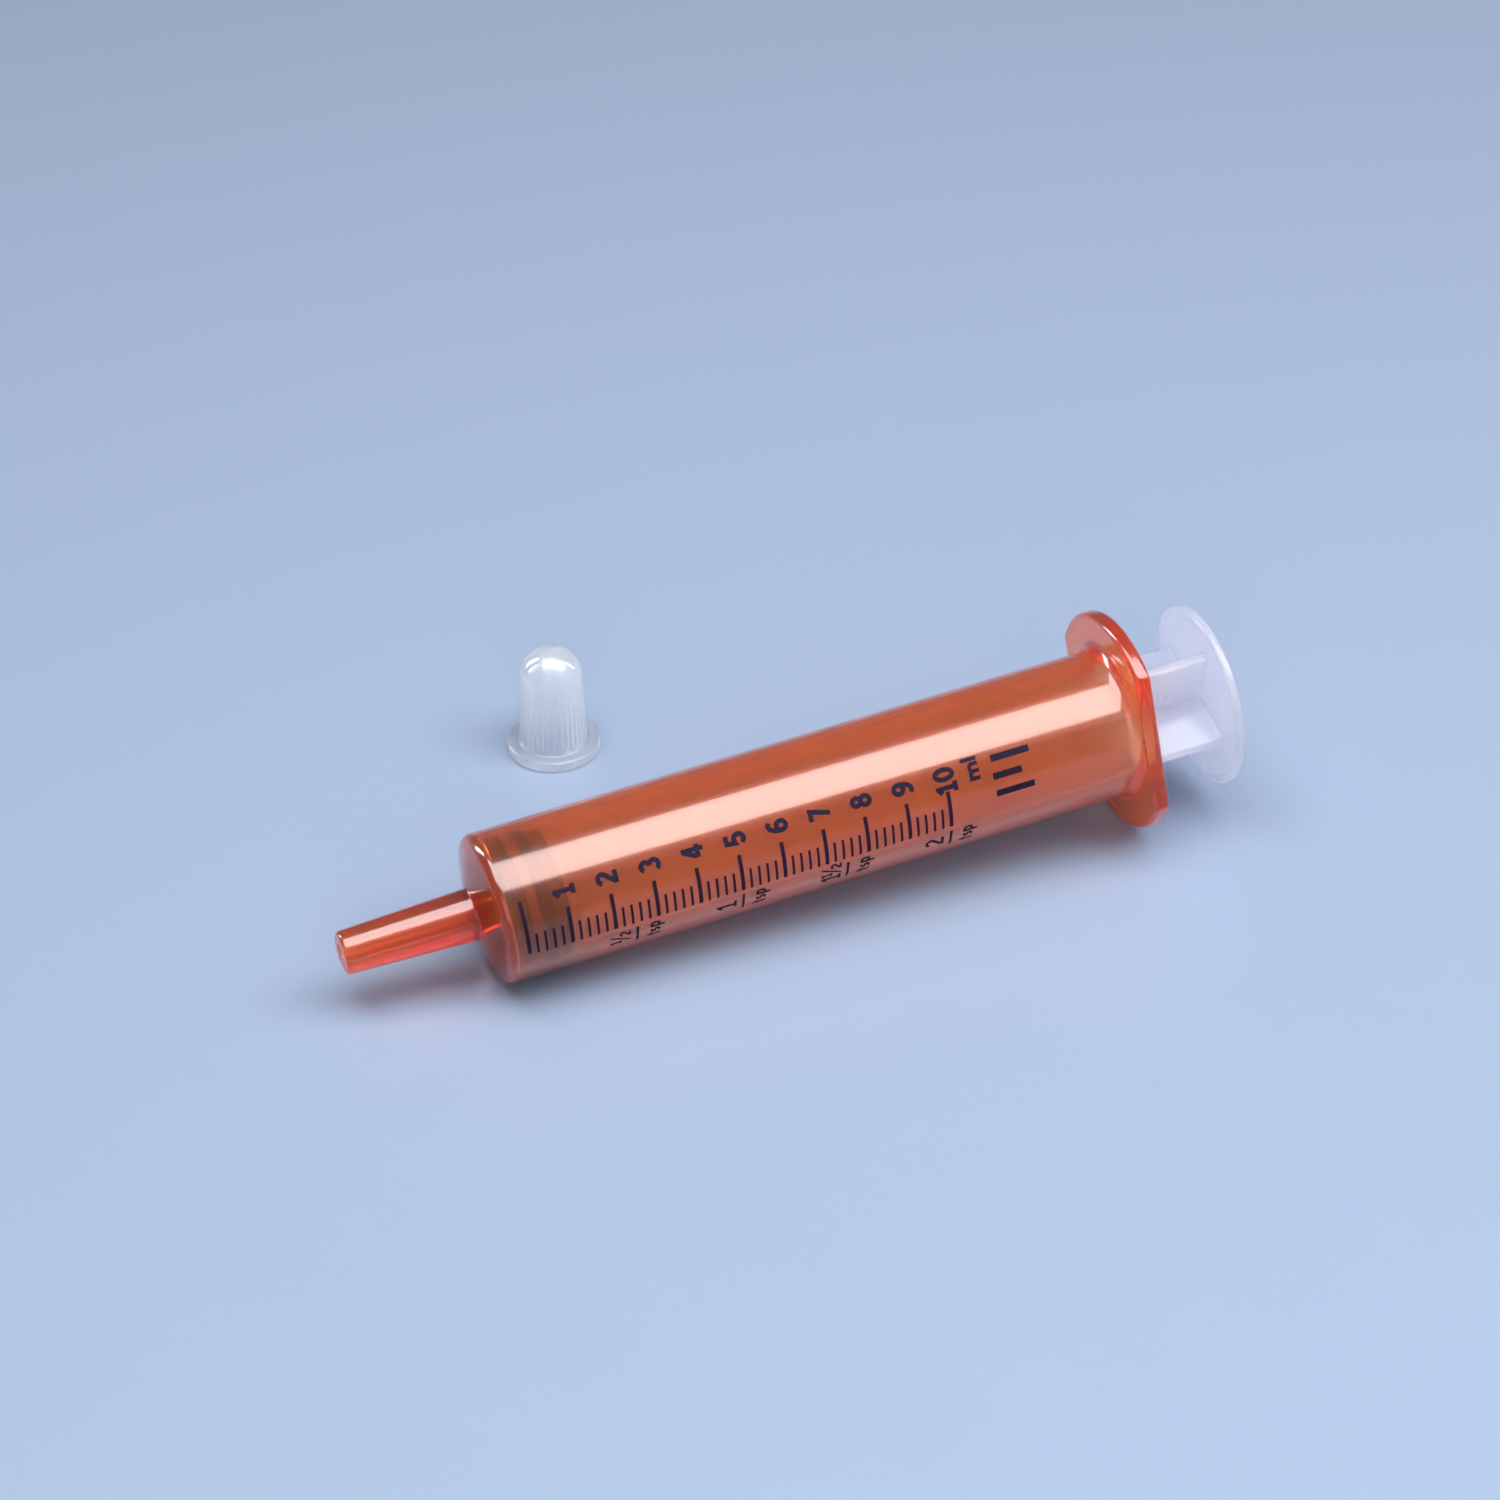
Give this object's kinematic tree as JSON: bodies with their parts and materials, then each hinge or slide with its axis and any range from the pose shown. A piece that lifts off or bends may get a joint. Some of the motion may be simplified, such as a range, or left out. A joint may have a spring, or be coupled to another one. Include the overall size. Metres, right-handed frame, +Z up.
{
  "type": "oral syringe",
  "caption": "Amber oral syringe with printed volume scale, rubber-tipped plunger, tapered nozzle and a separate domed tip cap.",
  "frame": {"origin": "centre of the footprint of the whole object, on the surface that it rests on", "axes": "+X along the syringe from nozzle to thumb disc, +Y from the syringe towards the tip cap that stands beside it, +Z up; the printed scale faces -Y"},
  "size_m": [0.1084, 0.0556, 0.0265],
  "materials": {
    "amber_plastic": "glossy translucent amber polypropylene",
    "piston_rubber": "satin dark synthetic rubber",
    "natural_plastic": "frosted translucent natural polypropylene",
    "clear_plastic": "clear glossy moulded plastic",
    "printed_ink": "flat screen-printed ink"
  },
  "bodies": {
    "barrel": {"barrel": "amber_plastic"},
    "piston": {"piston": "piston_rubber"},
    "plunger_rod": {"plunger_rod": "natural_plastic"},
    "tip_cap": {"tip_cap": "clear_plastic"}
  },
  "joints": [
    {"name": "plunger_slide", "type": "slide", "parent": "barrel", "child": "piston", "axis": [0.9984, 0, 0.0561], "range_m": [0, 0.06]},
    {"name": "plunger_turn", "type": "hinge", "parent": "piston", "child": "plunger_rod", "pos_m": [0.05361, -0.01548, 0.01388], "axis": [0.9984, 0, 0.0561], "continuous": true},
    {"name": "cap_lift", "type": "slide", "parent": "barrel", "child": "tip_cap", "axis": [0, 0, 1], "range_m": [0, 0.05]}
  ]
}
